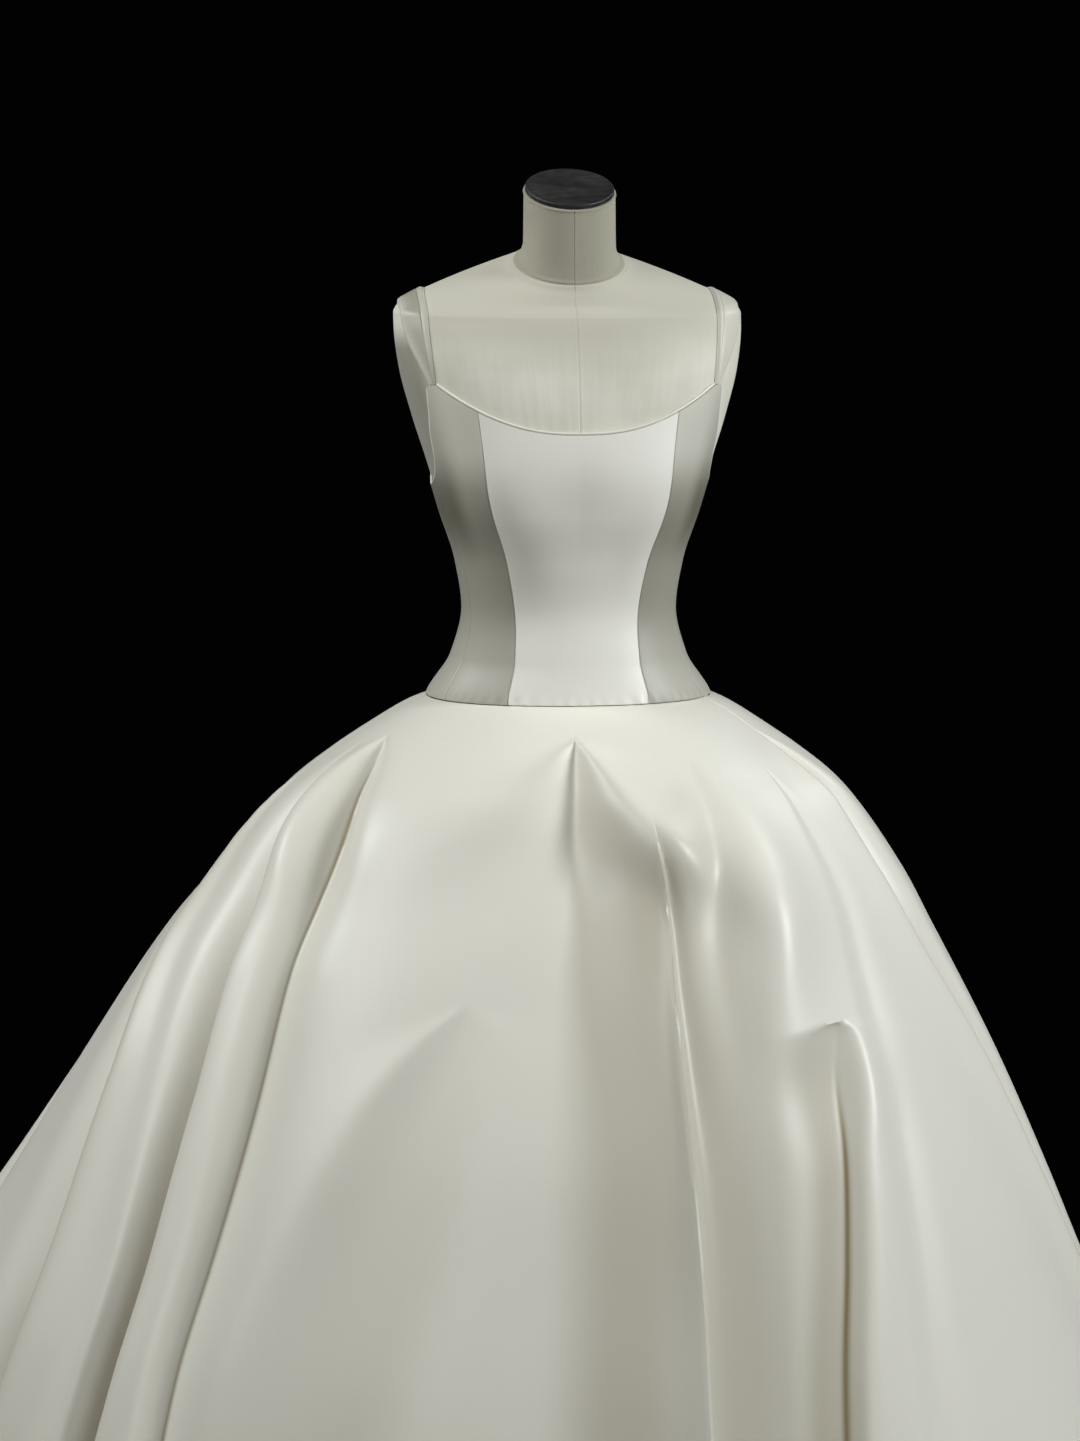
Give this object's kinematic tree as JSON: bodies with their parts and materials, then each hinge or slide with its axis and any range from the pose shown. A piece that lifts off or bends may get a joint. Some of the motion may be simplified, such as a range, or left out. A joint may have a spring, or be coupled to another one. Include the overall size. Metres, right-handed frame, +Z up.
{
  "type": "ball gown on a dress form",
  "caption": "Floor-length satin ball gown with a fitted seamed bodice, wide straps and a domed folded skirt, worn by a limbless dress form on a round stand.",
  "frame": {"origin": "middle of the underside of the stand's base, on the dress form's axis", "axes": "+Z up, the gown's front faces -Y, +X is the wearer's left"},
  "size_m": [1.6117, 1.5946, 1.5475],
  "materials": {
    "form_linen": "unbleached linen canvas, matte",
    "neck_cap_dark": "black-stained wood, satin",
    "stand_iron": "black cast iron",
    "stand_steel": "brushed steel tube",
    "bodice_front_satin": "ivory duchess satin, soft sheen",
    "bodice_side_satin": "ivory duchess satin, soft sheen",
    "binding_satin": "ivory satin binding",
    "skirt_satin": "ivory duchess satin, soft sheen"
  },
  "bodies": {
    "root": {"form_torso": "form_linen", "form_neck_cap": "neck_cap_dark", "stand_base": "stand_iron", "stand_pole": "stand_steel", "stand_flange": "stand_iron", "bodice_centre_front": "bodice_front_satin", "bodice_side_front_left": "bodice_side_satin", "bodice_side_back_left": "bodice_side_satin", "bodice_back_left": "bodice_side_satin", "bodice_side_front_right": "bodice_side_satin", "bodice_side_back_right": "bodice_side_satin", "bodice_back_right": "bodice_side_satin", "neckline_binding_front": "binding_satin", "neckline_binding_back": "binding_satin", "armhole_binding_left": "binding_satin", "armhole_binding_right": "binding_satin", "strap_left": "binding_satin", "strap_left_band": "binding_satin", "strap_right": "binding_satin", "strap_right_band": "binding_satin", "skirt_front": "skirt_satin", "skirt_side_left": "skirt_satin", "skirt_side_right": "skirt_satin", "skirt_back_left": "skirt_satin", "skirt_back_right": "skirt_satin"}
  },
  "joints": []
}
